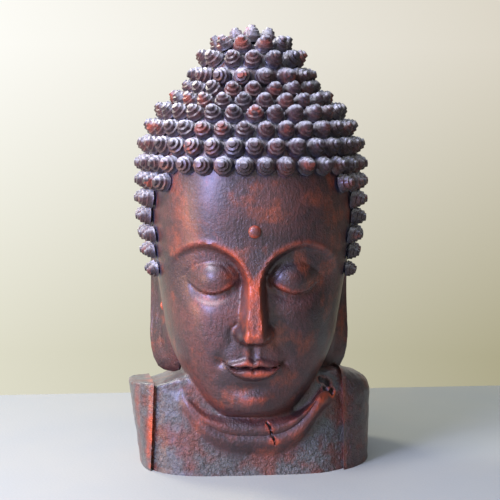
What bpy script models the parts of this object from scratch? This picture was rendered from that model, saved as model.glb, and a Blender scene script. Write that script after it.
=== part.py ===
"""Buddha head bust: a cast stone head with snail-shell curls on a low block of chest and shoulders.

The bust is one casting, so it is one solid. Every form is a ball of rows and columns pressed into
shape by a function, and the forms are then joined by Boolean unions. The front faces -Y, +X is on
the viewer's right, and the origin is under the middle of the bust, on the ground.

The head and its face follow a sculptor's canon: the bust's height is divided into 300 parts, the
face from hairline to chin into three equal bands, and its width into five eyes.
"""

import math
import random

import bmesh
import bpy
import numpy as np
from mathutils import Matrix, Vector

# Driving dimensions, in metres
BUST_HEIGHT = 0.297
SHOULDER_WIDTH = 0.165
SHOULDER_DEPTH = 0.118
SHOULDER_HEIGHT = 0.065
ROBE_EDGE_SPACING = 0.1275
ROBE_EDGE_SHIFT = -0.00475
ROBE_THICKNESS = 0.0026

# Pose, in degrees: the head is turned a little to the viewer's left on its shoulders, and the edge
# of the robe on that side leans inwards as it rises
HEAD_TURN = -4.0
ROBE_EDGE_LEAN = 2.5

# The canon: one part is one millimetre on a bust of 297 mm. Heights count from a level that
# the ground cuts off
PART = BUST_HEIGHT / 297.0
GROUND = 6.5
CURL_SPACING = 13.2
CURL_LENGTH = 12.4
CURL_SINK = 1.4
CURL_BREADTH = 13.2
EAR_THICKNESS = 7.0
URNA_DIAMETER = 8.5
HAIRLINE = 206.0
CHIN = 48.0
FACE_BAND = (HAIRLINE - CHIN) / 3.0
BROW_LEVEL = HAIRLINE - FACE_BAND
NOSE_LEVEL = CHIN + FACE_BAND
FACE_WIDTH = 124.0
EYE_WIDTH = FACE_WIDTH / 5.0
EYE_LEVEL = BROW_LEVEL - 0.29 * FACE_BAND
MOUTH_LEVEL = NOSE_LEVEL - 0.34 * FACE_BAND

# The head's stations from crown to neck, in parts: front height and depth, back height and
# depth, and half width
STATIONS = np.array(
    [
        (293.0, 3.0, 293.0, 3.0, 0.0),
        (290.0, -12.0, 290.0, 18.0, 15.0),
        (283.0, -23.0, 283.0, 29.5, 25.5),
        (272.5, -31.0, 271.5, 38.0, 33.0),
        (261.0, -35.0, 259.5, 43.0, 37.0),
        (251.5, -44.0, 250.0, 55.0, 47.5),
        (242.5, -54.0, 240.0, 66.5, 58.5),
        (231.5, -63.0, 227.5, 76.0, 65.5),
        (220.0, -69.0, 214.0, 81.5, 69.5),
        (208.0, -72.0, 201.0, 84.0, 70.0),
        (192.0, -74.0, 184.0, 84.0, 70.0),
        (173.0, -75.0, 165.0, 81.0, 69.0),
        (155.0, -75.0, 148.0, 76.5, 67.0),
        (140.0, -73.5, 134.0, 71.0, 65.0),
        (124.0, -73.0, 121.0, 65.0, 62.5),
        (108.0, -72.5, 109.0, 58.5, 60.0),
        (95.0, -72.0, 100.0, 51.0, 58.0),
        (82.0, -71.5, 93.0, 48.5, 54.5),
        (70.0, -70.0, 87.0, 47.0, 50.0),
        (60.0, -68.5, 82.0, 46.0, 45.0),
        (51.5, -65.0, 78.0, 45.5, 40.5),
        (47.0, -58.0, 75.0, 45.5, 40.0),
        (43.5, -56.0, 72.0, 46.0, 46.0),
        (37.5, -59.0, 68.0, 47.0, 54.0),
        (30.5, -60.0, 63.0, 48.0, 57.0),
        (23.5, -58.5, 57.0, 49.0, 57.0),
        (16.0, -50.0, 45.0, 48.0, 48.0),
        (10.0, -2.0, 30.0, 2.0, 0.0),
    ]
)
HAIRLINE_STATION = 9
NECK_STATION = 22
SHOULDER_FRONT = 62.0
SHOULDER_LEAN = 16.0
EAR_LEVEL = 108.5
CURL_LINE = 212.0
URNA_LEVEL = 172.0
URNA_DEPTH = -75.0
SKIN_TRIANGLES = 4400
ALL_TRIANGLES = 9900
CROWN_FULLNESS = 2.1
FACE_FULLNESS = 2.35
NECK_FULLNESS = 3.4


def bell(distance, width):
    """A soft bump of height 1 that fades out beyond its width."""
    return np.exp(-((distance / width) ** 2))


def ramp(value, low, high):
    """A smooth step from 0 at low to 1 at high."""
    share = np.clip((value - low) / (high - low), 0.0, 1.0)
    return share * share * (3.0 - 2.0 * share)


def soft_max(a, b, blend):
    return 0.5 * (a + b + np.sqrt((a - b) ** 2 + blend**2))


def curve(points, where):
    """A smooth line through points, (where, value) in rising order, read at where."""
    points = np.asarray(points, float)
    x, y = points[:, 0], points[:, 1:]
    slope = np.gradient(y, x, axis=0)
    where = np.clip(where, x[0], x[-1])
    left = np.clip(np.searchsorted(x, where, side="right") - 1, 0, len(x) - 2)
    gap = x[left + 1] - x[left]
    t = ((where - x[left]) / gap)[..., None]
    gap = gap[..., None]
    value = (
        (2 * t**3 - 3 * t**2 + 1) * y[left]
        + (t**3 - 2 * t**2 + t) * gap * slope[left]
        + (-2 * t**3 + 3 * t**2) * y[left + 1]
        + (t**3 - t**2) * gap * slope[left + 1]
    )
    return value[..., 0] if y.shape[1] == 1 else value


def distance_to_line(points, x, z):
    """The distance from (x, z) to a smooth line through points, and how far along it."""
    points = np.asarray(points, float)
    steps = np.linspace(0, len(points) - 1, 90)
    line = curve(np.column_stack([np.arange(len(points)), points]), steps)
    gap = np.hypot(x[:, None] - line[None, :, 0], z[:, None] - line[None, :, 1])
    nearest = gap.argmin(axis=1)
    return gap[np.arange(len(x)), nearest], steps[nearest]


# The face, in parts: x is the distance from the middle line and z the height


BROW_LINE = (
    (5.0, 104.0),
    (4.4, 116.0),
    (3.6, 128.0),
    (3.6, 139.0),
    (6.0, 148.0),
    (13.0, 156.5),
    (23.0, 162.0),
    (34.0, 163.5),
    (45.0, 160.0),
    (54.0, 152.5),
    (60.0, 143.0),
)


def nose(x, z):
    """A straight bridge with crisp edges, a round tip and two wings."""
    base = NOSE_LEVEL
    height = curve(
        [
            (base - 8, 0.0),
            (base - 3.0, 1.0),
            (base + 0.5, 9.0),
            (base + 3.5, 18.5),
            (base + 7.0, 20.5),
            (base + 12.0, 19.5),
            (base + 22.0, 14.5),
            (base + 32.0, 9.5),
            (base + 41.0, 6.0),
            (base + 50.0, 3.0),
            (base + 60.0, 0.6),
            (base + 70.0, 0.0),
        ],
        z,
    )
    height = np.where((z < base - 8) | (z > base + 70), 0.0, np.maximum(height, 0.0))
    edges = [
        (95, 4.5, 10.5),
        (106, 5.0, 11.0),
        (117, 4.2, 10.0),
        (129, 3.4, 9.0),
        (142, 3.6, 9.5),
        (150, 7.0, 16.0),
        (165, 16.0, 34.0),
    ]
    bridge, foot = curve(edges, z).T
    share = np.clip((x - bridge) / (foot - bridge), 0.0, 1.0)
    ridge = height * (1.0 - ramp(share, 0.0, 1.0) ** 0.8)
    wing = 10.5 - 10.5 * (((x - 7.6) / 5.4) ** 2 + ((z - base - 4.2) / 6.0) ** 2)
    crease = 0.8 * bell(np.hypot((x - 7.6) / 1.05, z - base - 4.2) - 7.4, 1.2)
    crease *= ramp(x, 7.0, 11.0) * ramp(z, base + 1.0, base + 4.0)
    return soft_max(ridge, wing, 1.4) - crease


def eye_socket(x, z):
    """The hollow under the brow line, deep beside the nose and fading towards the temple."""
    gap, along = distance_to_line(BROW_LINE, x, z)
    top = curve([(0, 139), *BROW_LINE[4:]], x)
    side = curve([(90, 5.0), (104, 5.0), (116, 4.4), (128, 3.6), (139, 3.6), (148, 6.0), (200, 6.0)], z)
    inside = np.where((z < top) & (x > side), gap, -gap)
    depth = curve([(0, 9.0), (12, 9.0), (20, 7.0), (32, 5.2), (46, 3.6), (56, 1.4), (62, 0.0)], x)
    hollow = ramp(inside, -0.6, 5.2) * (1.0 - ramp(EYE_LEVEL - z, -4.0, 22.0))
    lip = 0.7 * bell(gap, 2.0) * ramp(along, 2.0, 5.0) * (1.0 - ramp(x, 50.0, 60.0))
    return lip - depth * hollow * (1.0 - ramp(x, 48.0, 60.0))


def lids(x, z):
    """The ball of the closed eye, and where it stands out of the socket."""
    return 1.2 - 9.0 * (((x - 27.5) / 18.5) ** 2 + ((z - EYE_LEVEL - 0.5) / 14.5) ** 2)


def lid_line(x):
    """The height of the line where the closed lids meet."""
    inner = 0.5 * EYE_WIDTH
    slit = [(0, 0), (inner, -1.6), (inner + 7, -5.2), (inner + 15, -7.4), (inner + 23, -5.8)]
    return EYE_LEVEL + curve([*slit, (inner + 30, -1.2), (60, 1)], x)


def mouth(x, z):
    """Full closed lips with a bowed upper edge and tucked corners."""
    middle = MOUTH_LEVEL
    half = 0.78 * EYE_WIDTH
    part = middle + curve([(0, -0.6), (4, 0.3), (10, -0.3), (16, 0.9), (half + 1, 2.8), (60, 3.0)], x)
    upper = middle + curve([(0, 5.4), (3.6, 7.2), (9, 5.8), (15, 3.9), (half + 1, 2.9), (60, 3.0)], x)
    lower = middle + curve([(0, -9.0), (6, -8.4), (12, -5.6), (17, -1.2), (half + 1, 2.6), (60, 3.0)], x)
    fade = 1.0 - ramp(x, half - 6.0, half + 1.0)
    up = np.clip((z - part) / np.maximum(upper - part, 0.3), 0, 1)
    down = np.clip((part - z) / np.maximum(part - lower, 0.3), 0, 1)
    lips = 3.2 * np.sin(math.pi * up**0.85) ** 0.8 * fade**0.6
    lips += 4.0 * np.sin(math.pi * down**0.8) ** 0.8 * fade**0.8
    seam = 1.6 * bell(z - part, 0.9) * (1.0 - ramp(x, half, half + 3.0))
    tuck = 2.4 * bell(np.hypot(x - half - 1.2, z - middle - 2.8), 3.6)
    muzzle = 3.0 * bell(x, 22.0) * bell(z - middle, 15.0)
    philtrum = (0.5 * bell(x - 4.0, 1.6) - 1.0 * bell(x, 2.2)) * ramp(z, middle + 5, middle + 9)
    philtrum *= 1.0 - ramp(z, NOSE_LEVEL - 4, NOSE_LEVEL)
    return muzzle + lips - seam - tuck + philtrum


def face_relief(x, z):
    """How far the face stands in front of the plain egg of the head, in parts."""
    x = np.abs(x)
    slit = lid_line(x)
    inner, outer = 0.5 * EYE_WIDTH, 1.72 * EYE_WIDTH
    along = ramp(x, inner - 1.5, inner + 3.0) * (1.0 - ramp(x, outer - 4.0, outer + 1.5))
    hollow = eye_socket(x, z)
    eye = soft_max(hollow, lids(x, z), 1.6)
    below = slit - z
    eye -= 1.9 * along * ramp(below, -0.3, 0.5) * (1.0 - ramp(below, 1.5, 9.0))
    eye += 0.7 * along * bell(below + 1.1, 1.0) + 0.5 * along * bell(below - 3.2, 1.5)
    crease = [(inner + 1, EYE_LEVEL + 3), (20, 149), (30, 150.5), (39, 147), (45, 140.5)]
    fold, _ = distance_to_line(crease, x, z)
    eye -= 0.55 * bell(fold, 0.9)
    cheek = 3.2 * bell(x - 35.0, 19.0) * bell(z - 106.0, 21.0)
    furrow, _ = distance_to_line([(13.5, 102.0), (18.0, 95.0), (24.0, 86.0), (25.0, 78.0)], x, z)
    chin = 4.6 * bell(x, 14.0) * bell(z - CHIN - 8.5, 9.5)
    groove = 2.2 * bell(x, 14.0) * bell(z - CHIN - 20.0, 4.2)
    return eye + nose(x, z) + mouth(x, z) + cheek - 0.7 * bell(furrow, 3.2) + chin - groove


# The forms: each takes row shares from 0 to 1 and column angles, and gives points in parts


def head_surface(station, angle):
    """The plain head at a station and an angle from the middle of the face, positive to +X."""
    ring = curve(np.column_stack([np.arange(len(STATIONS)), STATIONS]), station)
    front, back, width = ring[:, 1::-1], ring[:, 3:1:-1], np.maximum(ring[:, 4], 0.0)
    middle = 0.5 * (front + back)
    full = CROWN_FULLNESS + (FACE_FULLNESS - CROWN_FULLNESS) * ramp(station, 7.0, 11.0)
    full += (NECK_FULLNESS - FACE_FULLNESS) * ramp(station, 20.0, NECK_STATION + 0.5)
    sine, cosine = np.sin(angle), np.cos(angle)
    reach = np.clip(1.0 - np.abs(sine) ** full, 0.0, 1.0) ** (1.0 / full)
    end = np.where((cosine > 0)[:, None], front, back)
    across = middle + (end - middle) * reach[:, None]
    return np.column_stack([width * sine, across[:, 0], across[:, 1]])


def neck_folds(station):
    """Two soft rolls round the neck, in parts of bulge."""
    turn = np.clip((station - NECK_STATION + 0.2) / 1.75, 0.0, 2.0)
    return 2.6 * np.abs(np.sin(math.pi * turn)) ** 0.6


def head(rows, columns):
    """The head and neck with the face on it. Rows crowd over the face."""
    crowd = [(0.0, 0.0), (0.16, 9.0), (0.24, 11.0), (0.90, 21.5), (0.985, 26.0), (1.0, 27.0)]
    station = np.interp(rows, *zip(*crowd))
    angle = columns - 0.42 * np.sin(columns)
    points = head_surface(station, angle)
    front = 1.0 - ramp(np.abs(angle), math.radians(62), math.radians(84))
    shown = ramp(station, 9.0, 10.0) * (1.0 - ramp(station, 20.6, 22.0))
    relief = face_relief(points[:, 0], points[:, 2]) * front * shown
    points[:, 1] -= relief
    points[:, 2] -= 0.10 * np.clip(relief - 6.0, 0.0, None)
    collar = ramp(station, NECK_STATION - 0.5, NECK_STATION + 1.0) * ramp(-points[:, 1], 0.0, 30.0)
    points[:, 2] += 24.0 * collar * np.clip(np.abs(points[:, 0]) / 45.0, 0.0, 0.98) ** 3
    outward = points * (1.0, 1.0, 0.0)
    outward /= np.maximum(np.linalg.norm(outward, axis=1), 1e-6)[:, None]
    return turned(points + outward * neck_folds(station)[:, None])


def turned(points):
    """Points of the head turned about the upright axis as the head is on its shoulders."""
    return points @ np.array(Matrix.Rotation(math.radians(HEAD_TURN), 3, "Z")).T


def shoulders(rows, columns, extra=0.0):
    """The block of chest and shoulders. It runs below the ground, to be cut flat there."""
    high = SHOULDER_HEIGHT / PART + extra
    sine, cosine = np.sin(columns), np.cos(columns)
    left, right = ramp(-sine, 0.35, 0.75), ramp(sine, 0.35, 0.75)
    corner = 9.0 - 7.0 * left + 6.0 * right
    swing = 0.5 * math.pi * np.clip((rows - 0.30) / 0.16, 0.0, 1.0)
    flat = np.clip(rows / 0.30, 0.0, 1.0)
    drop = np.clip((rows - 0.46) / 0.38, 0.0, 1.0)
    reach = flat * (1.0 - corner / 60.0) + np.sin(swing) * corner / 60.0
    reach *= np.clip((1.0 - rows) / 0.16, 0.0, 1.0)
    top = high - corner * (1.0 - np.cos(swing))
    height = top - (high - corner + extra) * drop
    share = np.clip(height / high, 0.0, 1.0)
    full = 3.8 - 1.0 * right
    front = -SHOULDER_FRONT + SHOULDER_LEAN * share - extra
    back = SHOULDER_DEPTH / PART - SHOULDER_FRONT + extra
    end = np.where(cosine > 0, front, back)
    middle = 0.5 * (front + back)
    curved = np.clip(1.0 - np.abs(sine) ** full, 0.0, 1.0) ** (1.0 / full)
    wide = 0.5 * SHOULDER_WIDTH / PART + extra
    x = wide * (1.0 - (0.035 + 0.065 * left) * (1.0 - share)) * reach * sine
    y = middle + (end - middle) * reach * curved
    rise = 8.0 * (1.0 - ramp(np.abs(x), 40.0, 72.0)) + 6.0 * ramp(x, 40.0, 60.0)
    rise -= 0.17 * (y - front)
    return np.column_stack([x, y, height + rise * share])


def ear(rows, columns):
    """The ear on the +X side: a rolled rim, a hollow shell and a long lobe that turns outwards."""
    outline = [(-180, 46), (-168, 45), (-155, 34), (-135, 20), (-110, 14), (-90, 12.5), (-60, 14.5)]
    outline += [(-30, 26), (0, 42), (30, 34), (60, 24), (90, 19), (120, 19), (140, 23), (155, 34)]
    outline += [(168, 45), (180, 46)]
    around = np.degrees(columns)
    swing = math.pi * rows
    share = np.sin(swing) ** 0.75
    side = np.cos(swing)
    reach = curve(outline, around) * share
    back, up = reach * np.sin(columns), reach * np.cos(columns)
    thick = 0.5 * EAR_THICKNESS * np.sign(side) * np.abs(side) ** 0.55
    upper = ramp(up, -20.0, -8.0)
    rim = ramp(around, -75.0, -45.0) * (1.0 - ramp(around, 140.0, 165.0))
    fold = bell(share - 0.55, 0.10) * ramp(around, 0, 40) * upper
    relief = 1.6 * bell(share - 0.86, 0.10) * rim + 1.3 * fold
    relief -= 2.4 * (1.0 - ramp(share, 0.50, 0.75)) * upper
    relief += 2.6 * bell(np.hypot(back + 8.5, up - 1.0), 3.4)
    relief -= 1.2 * bell(back, 1.8) * ramp(-up, 13.0, 19.0) * (1.0 - ramp(-up, 30.0, 37.0))
    thick = np.where(side > 0, thick + relief, thick)
    height = EAR_LEVEL + up
    # Height, distance from the middle line, depth, and the angle it flares out at
    ways = [
        (62, 56.0, 4.0, 52.0),
        (75, 58.0, 5.0, 48.0),
        (90, 59.5, 7.0, 36.0),
        (110, 60.5, 10.0, 20.0),
        (135, 63.0, 12.0, 12.0),
        (155, 67.0, 14.0, 8.0),
    ]
    middle, behind, flare = curve(ways, height).T
    flare = np.radians(flare)
    x = middle + back * np.sin(flare) + thick * np.cos(flare)
    y = behind + back * np.cos(flare) - thick * np.sin(flare)
    return np.column_stack([x, y, height])


def ear_right(rows, columns):
    return turned(ear(rows, columns))


def ear_left(rows, columns):
    return turned(ear(rows, columns) * (-1.0, 1.0, 1.0))


def urna(rows, columns):
    """The raised dot on the brow, on the middle line above the brows."""
    radius = 0.5 * URNA_DIAMETER
    reach = np.sin(math.pi * rows)
    level = np.cos(math.pi * rows)
    ball = np.column_stack([reach * np.sin(columns), -reach * np.cos(columns), level])
    return turned(ball * (radius, 0.62 * radius, radius) + (0.0, URNA_DEPTH, URNA_LEVEL))


# The curls


def scalp_point(station, angle):
    return head_surface(np.array([station]), np.array([angle]))[0]


def scalp_normal(station, angle):
    """The outward direction of the scalp."""
    down = scalp_point(station + 0.05, angle) - scalp_point(station - 0.05, angle)
    across = scalp_point(station, angle + 0.02) - scalp_point(station, angle - 0.02)
    return Vector(np.cross(down, across)).normalized()


def row_stations():
    """Stations of the rows of curls, a spacing apart down the side of the head."""
    stations = np.linspace(0.0, 18.0, 1200)
    side = np.array([scalp_point(s, 0.5 * math.pi) for s in stations])
    along = np.concatenate([[0.0], np.cumsum(np.linalg.norm(np.diff(side, axis=0), axis=1))])
    gap = 0.90 * CURL_SPACING
    first = np.interp(HAIRLINE_STATION - 0.4, stations, along) % gap
    return np.interp(np.arange(first, along[-1], gap), along, stations)


def has_hair(point):
    """Whether a place on the head carries a curl: not on the face, the ears or below the nape."""
    x, y, z = point
    if z > CURL_LINE - 1.0:
        return True
    temple = -34.0 - 22.0 * float(ramp(z, 188.0, CURL_LINE - 2.0))
    if y < temple or z < 136.0 and y < 22.0:
        return False
    by_ear = math.hypot((y - 13.0) / 21.0, (z - EAR_LEVEL - 8.0) / 34.0) < 1.0
    return not by_ear and z > 100.0


def curl_places():
    """Where the curls stand, in sets whose curls don't touch each other: neighbours in a row are
    in two sets, and so are rows. A place is a point on the scalp, a direction and a size."""
    chance = random.Random(11)
    top = (Vector(scalp_point(0.0, 0.0)), Vector((0.0, 0.0, 1.0)), 1.0)
    places = [[], [], [], [], [top]]
    angles = np.linspace(-math.pi, math.pi, 721)
    for row, station in enumerate(row_stations()):
        ring = head_surface(np.full(len(angles), station), angles)
        along = np.concatenate([[0.0], np.cumsum(np.linalg.norm(np.diff(ring, axis=0), axis=1))])
        count = 2 * int(round(0.5 * along[-1] / CURL_SPACING))
        if count < 4:
            continue
        for k in range(count):
            step = (k + 0.5 * (row % 2) + chance.uniform(-0.04, 0.04)) / count
            angle = float(np.interp(step * along[-1], along, angles))
            point = scalp_point(station, angle)
            if has_hair(point):
                size = 0.78 + 0.22 * float(ramp(point[2], 145.0, 180.0)) if point[1] < 0 else 1.0
                lean = Vector([chance.uniform(-0.04, 0.04) for _ in range(3)])
                direction = (scalp_normal(station, angle) + lean).normalized()
                places[2 * (row % 2) + k % 2].append((Vector(point), direction, size))
    return places


def curl_cone():
    """One plain curl of a spacing's breadth: a blunt cone with six corners below and three above."""
    mesh = bmesh.new()
    root = 0.5 * CURL_BREADTH * PART
    length = CURL_LENGTH * PART
    bmesh.ops.create_cone(
        mesh,
        cap_ends=True,
        segments=6,
        radius1=root,
        radius2=0.66 * root,
        depth=length,
        matrix=Matrix.Translation((0.0, 0.0, 0.5 * length - CURL_SINK * PART)),
    )
    tips = sorted((v for v in mesh.verts if v.co.z > 0.5 * length), key=around_axis)
    for first, second in zip(tips[0::2], tips[1::2]):
        middle = 0.5 * (first.co + second.co)
        bmesh.ops.pointmerge(mesh, verts=[first, second], merge_co=middle)
    data = bpy.data.meshes.new("curl")
    mesh.to_mesh(data)
    mesh.free()
    return data


def around_axis(vert):
    return math.atan2(vert.co.y, vert.co.x) % (2.0 * math.pi)


def curls(one, places):
    """A set of curls as one mesh of separate cones, sunk a little into the scalp."""
    mesh = bmesh.new()
    for point, direction, size in places:
        upright = Vector((0.0, 0.0, 1.0)).rotation_difference(direction).to_matrix().to_4x4()
        place = Matrix.Rotation(math.radians(HEAD_TURN), 4, "Z") @ Matrix.Translation(point * PART)
        known = len(mesh.verts)
        mesh.from_mesh(one)
        mesh.verts.ensure_lookup_table()
        bmesh.ops.transform(mesh, matrix=place @ upright @ Matrix.Scale(size, 4), verts=mesh.verts[known:])
    return finished("curls", mesh)


# Building


def pressed_ball(name, rows, columns, form):
    """A ball of rows and columns whose points are placed by form(row shares, column angles)."""
    mesh = bmesh.new()
    bmesh.ops.create_uvsphere(mesh, u_segments=columns, v_segments=rows, radius=1.0)
    obj = finished(name, mesh)
    ball = np.empty(len(obj.data.vertices) * 3, np.float32)
    obj.data.vertices.foreach_get("co", ball)
    ball = ball.reshape(-1, 3).astype(float)
    share = np.arccos(np.clip(ball[:, 2], -1.0, 1.0)) / math.pi
    turn = np.arctan2(ball[:, 0], -ball[:, 1])
    obj.data.vertices.foreach_set("co", (form(share, turn) * PART).astype(np.float32).ravel())
    face_outwards(obj.data)
    return obj


def face_outwards(data):
    mesh = bmesh.new()
    mesh.from_mesh(data)
    bmesh.ops.recalc_face_normals(mesh, faces=mesh.faces)
    mesh.to_mesh(data)
    mesh.free()


def finished(name, mesh):
    """A bmesh as an object of the scene."""
    data = bpy.data.meshes.new(name)
    mesh.to_mesh(data)
    mesh.free()
    obj = bpy.data.objects.new(name, data)
    bpy.context.scene.collection.objects.link(obj)
    return obj


def robe_side(side, rows, columns):
    """The robe over one shoulder: the block's own shape a little larger, cut off at its edge."""
    obj = pressed_ball("robe", rows, columns, lambda r, c: shoulders(r, c, ROBE_THICKNESS / PART))
    mesh = bmesh.new()
    mesh.from_mesh(obj.data)
    edge = side * 0.5 * ROBE_EDGE_SPACING + ROBE_EDGE_SHIFT
    lean = math.tan(math.radians(ROBE_EDGE_LEAN)) if side < 0 else 0.0
    cut = bmesh.ops.bisect_plane(
        mesh,
        geom=mesh.verts[:] + mesh.edges[:] + mesh.faces[:],
        plane_co=(edge, 0.0, SHOULDER_HEIGHT),
        plane_no=(-side, 0.0, side * lean),
        clear_outer=True,
    )
    rim = [e for e in cut["geom_cut"] if isinstance(e, bmesh.types.BMEdge)]
    bmesh.ops.holes_fill(mesh, edges=rim)
    mesh.to_mesh(obj.data)
    mesh.free()
    face_outwards(obj.data)
    return obj


def clear_scene():
    for obj in list(bpy.data.objects):
        bpy.data.objects.remove(obj)


def apply(obj, modifier):
    """The object's mesh with its one modifier applied."""
    bpy.context.view_layer.update()
    seen = obj.evaluated_get(bpy.context.evaluated_depsgraph_get())
    data = bpy.data.meshes.new_from_object(seen)
    obj.modifiers.remove(modifier)
    obj.data = data


def join(obj, others):
    """The union of an object with others, which are removed."""
    for other in others:
        union = obj.modifiers.new("union", "BOOLEAN")
        union.operation = "UNION"
        union.solver = "EXACT"
        union.object = other
        apply(obj, union)
        bpy.data.objects.remove(other)


def thin_out(obj, triangles):
    """Fewer triangles: the flat places lose theirs first."""
    thinner = obj.modifiers.new("thin out", "DECIMATE")
    thinner.ratio = triangles / sum(len(p.vertices) - 2 for p in obj.data.polygons)
    thinner.use_collapse_triangulate = True
    apply(obj, thinner)


def cut_flat(obj):
    """The underside cut level at the ground and closed."""
    mesh = bmesh.new()
    mesh.from_mesh(obj.data)
    cut = bmesh.ops.bisect_plane(
        mesh,
        geom=mesh.verts[:] + mesh.edges[:] + mesh.faces[:],
        plane_co=(0.0, 0.0, GROUND * PART),
        plane_no=(0.0, 0.0, -1.0),
        clear_outer=True,
    )
    rim = [e for e in cut["geom_cut"] if isinstance(e, bmesh.types.BMEdge)]
    bmesh.ops.holes_fill(mesh, edges=rim)
    mesh.to_mesh(obj.data)
    mesh.free()


def settle(obj):
    """The mesh made of triangles and stood on the ground over the origin."""
    mesh = bmesh.new()
    mesh.from_mesh(obj.data)
    ground = GROUND * PART
    for vert in mesh.verts:
        vert.co.z = vert.co.z - ground if vert.co.z > ground + 0.0001 else 0.0
    bmesh.ops.triangulate(mesh, faces=mesh.faces)
    bmesh.ops.recalc_face_normals(mesh, faces=mesh.faces)
    low = [min(v.co[i] for v in mesh.verts) for i in range(2)]
    high = [max(v.co[i] for v in mesh.verts) for i in range(2)]
    middle = Vector((0.5 * (low[0] + high[0]), 0.5 * (low[1] + high[1]), 0.0))
    bmesh.ops.translate(mesh, vec=-middle, verts=mesh.verts)
    mesh.to_mesh(obj.data)
    mesh.free()


def patinated_stone():
    """Dark red-brown cast stone under a worn lacquer."""
    material = bpy.data.materials.new("patinated cast stone")
    material.use_nodes = True
    shader = material.node_tree.nodes["Principled BSDF"]
    shader.inputs["Base Color"].default_value = (0.062, 0.022, 0.013, 1.0)
    shader.inputs["Roughness"].default_value = 0.45
    return material


def main():
    clear_scene()
    bust = pressed_ball("buddha_head", 96, 96, head)
    forms = [pressed_ball("shoulders", 40, 64, shoulders)]
    forms += [robe_side(1, 40, 64), robe_side(-1, 40, 64)]
    forms += [pressed_ball("ear", 24, 32, ear_right), pressed_ball("ear", 24, 32, ear_left)]
    forms += [pressed_ball("urna", 8, 12, urna)]
    join(bust, forms)
    cut_flat(bust)
    thin_out(bust, SKIN_TRIANGLES)
    one = curl_cone()
    join(bust, [curls(one, places) for places in curl_places()])
    thin_out(bust, ALL_TRIANGLES)
    settle(bust)
    bust.data.materials.append(patinated_stone())
    collection = bpy.data.collections.new("buddha head bust")
    bpy.context.scene.collection.children.link(collection)
    bpy.context.scene.collection.objects.unlink(bust)
    collection.objects.link(bust)


if __name__ == "__main__":
    main()
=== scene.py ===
"""The look of the buddha head bust: one casting of dark red-brown stone under a worn lacquer, with
snail-shell curls, on a plain pale floor.

The carving is made of the same forms as the solid, finer, and the patina follows the shape: rubbed
bright where it stands out and dusty where it lies deep. Painted light and shade are in its colour too:
the curls are paler on top and darker at their roots, and the right of the robe is darker.
"""

import math
import random
import bmesh
import bpy
import numpy as np
from mathutils import Matrix, Vector, noise as cloud
from mathutils.bvhtree import BVHTree
from mathutils.kdtree import KDTree


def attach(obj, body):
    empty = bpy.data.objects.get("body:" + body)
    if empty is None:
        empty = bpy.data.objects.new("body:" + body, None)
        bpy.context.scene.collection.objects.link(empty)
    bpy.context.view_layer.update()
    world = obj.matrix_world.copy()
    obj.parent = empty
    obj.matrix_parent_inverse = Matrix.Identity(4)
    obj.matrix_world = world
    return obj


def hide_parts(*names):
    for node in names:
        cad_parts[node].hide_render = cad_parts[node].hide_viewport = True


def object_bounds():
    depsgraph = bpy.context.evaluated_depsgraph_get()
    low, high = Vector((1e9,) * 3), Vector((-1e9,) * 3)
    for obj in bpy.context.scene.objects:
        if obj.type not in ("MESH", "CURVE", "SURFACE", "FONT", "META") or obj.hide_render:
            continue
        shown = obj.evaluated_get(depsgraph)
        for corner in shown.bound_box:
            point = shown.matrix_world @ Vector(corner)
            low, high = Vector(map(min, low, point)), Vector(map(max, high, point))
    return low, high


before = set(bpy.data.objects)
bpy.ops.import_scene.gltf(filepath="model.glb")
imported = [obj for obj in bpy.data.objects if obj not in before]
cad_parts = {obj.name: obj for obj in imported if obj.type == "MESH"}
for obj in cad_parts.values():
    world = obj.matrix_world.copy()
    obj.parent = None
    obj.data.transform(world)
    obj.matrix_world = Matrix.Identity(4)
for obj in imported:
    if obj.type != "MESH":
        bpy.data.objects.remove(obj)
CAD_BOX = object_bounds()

# Driving dimensions, in metres
BUST_HEIGHT = 0.297
SHOULDER_WIDTH = 0.165
SHOULDER_DEPTH = 0.118
SHOULDER_HEIGHT = 0.065
ROBE_EDGE_SPACING = 0.1275
ROBE_EDGE_SHIFT = -0.00475
ROBE_THICKNESS = 0.0026

# Pose, in degrees: the head is turned a little to the viewer's left on its shoulders, and the edge
# of the robe on that side leans inwards as it rises
HEAD_TURN = -4.0
ROBE_EDGE_LEAN = 2.5

# The canon: one part is one millimetre on a bust of 297 mm. Heights count from a level that
# the ground cuts off
PART = BUST_HEIGHT / 297.0
GROUND = 6.5
CURL_SPACING = 13.2
CURL_LENGTH = 12.4
CURL_SINK = 1.4
CURL_BREADTH = 13.2
EAR_THICKNESS = 7.0
URNA_DIAMETER = 8.5
HAIRLINE = 206.0
CHIN = 48.0
FACE_BAND = (HAIRLINE - CHIN) / 3.0
BROW_LEVEL = HAIRLINE - FACE_BAND
NOSE_LEVEL = CHIN + FACE_BAND
FACE_WIDTH = 124.0
EYE_WIDTH = FACE_WIDTH / 5.0
EYE_LEVEL = BROW_LEVEL - 0.29 * FACE_BAND
MOUTH_LEVEL = NOSE_LEVEL - 0.34 * FACE_BAND

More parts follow.
